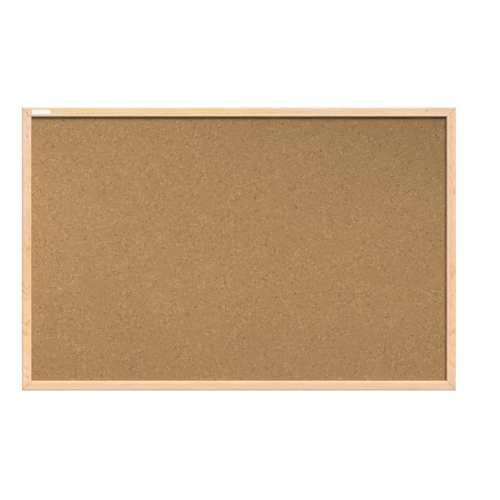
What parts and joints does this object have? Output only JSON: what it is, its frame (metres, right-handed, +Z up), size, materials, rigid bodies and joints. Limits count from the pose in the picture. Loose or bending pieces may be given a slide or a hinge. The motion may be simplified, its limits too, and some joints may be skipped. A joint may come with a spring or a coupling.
{
  "type": "cork board",
  "caption": "Framed cork board: mitred natural wood rails round a recessed cork sheet on a softboard core, with D-ring strap hangers on the back for hanging on a wall.",
  "frame": {"origin": "middle of the plane in which the rails' back faces lie, where the board meets its wall", "axes": "+X along the width, to the right as the board is read; +Y out of the back, into the wall; +Z up"},
  "size_m": [0.9, 0.019, 0.587],
  "materials": {
    "rail_wood": "clear satin lacquer",
    "cork": "matt fine-grained agglomerated cork",
    "softboard": "matt pressed wood fibre",
    "label_paper": "smooth white",
    "zinc_plate": "bright zinc plate",
    "nail_steel": "plain cold-rolled steel"
  },
  "bodies": {
    "board": {"blank_label": "label_paper", "bottom_rail": "rail_wood", "core_board": "softboard", "cork_sheet": "cork", "left_hanger_screw_1": "zinc_plate", "left_hanger_screw_2": "zinc_plate", "left_hanger_strap": "zinc_plate", "left_rail": "rail_wood", "panel_point_bottom_1": "nail_steel", "panel_point_bottom_2": "nail_steel", "panel_point_bottom_3": "nail_steel", "panel_point_bottom_4": "nail_steel", "panel_point_left_1": "nail_steel", "panel_point_left_2": "nail_steel", "panel_point_right_1": "nail_steel", "panel_point_right_2": "nail_steel", "panel_point_top_1": "nail_steel", "panel_point_top_2": "nail_steel", "panel_point_top_3": "nail_steel", "panel_point_top_4": "nail_steel", "right_hanger_screw_1": "zinc_plate", "right_hanger_screw_2": "zinc_plate", "right_hanger_strap": "zinc_plate", "right_rail": "rail_wood", "top_rail": "rail_wood", "v_nail_bottom_left_1": "nail_steel", "v_nail_bottom_left_2": "nail_steel", "v_nail_bottom_right_1": "nail_steel", "v_nail_bottom_right_2": "nail_steel", "v_nail_top_left_1": "nail_steel", "v_nail_top_left_2": "nail_steel", "v_nail_top_right_1": "nail_steel", "v_nail_top_right_2": "nail_steel"},
    "left_ring": {"left_hanger_ring": "zinc_plate"},
    "right_ring": {"right_hanger_ring": "zinc_plate"}
  },
  "joints": [
    {"name": "left_ring_swing", "type": "hinge", "parent": "board", "child": "left_ring", "pos_m": [-0.443, 0.0019, 0.2335], "axis": [1, 0, 0], "range_deg": [0, 175]},
    {"name": "right_ring_swing", "type": "hinge", "parent": "board", "child": "right_ring", "pos_m": [0.443, 0.0019, 0.2335], "axis": [1, 0, 0], "range_deg": [0, 175]}
  ]
}
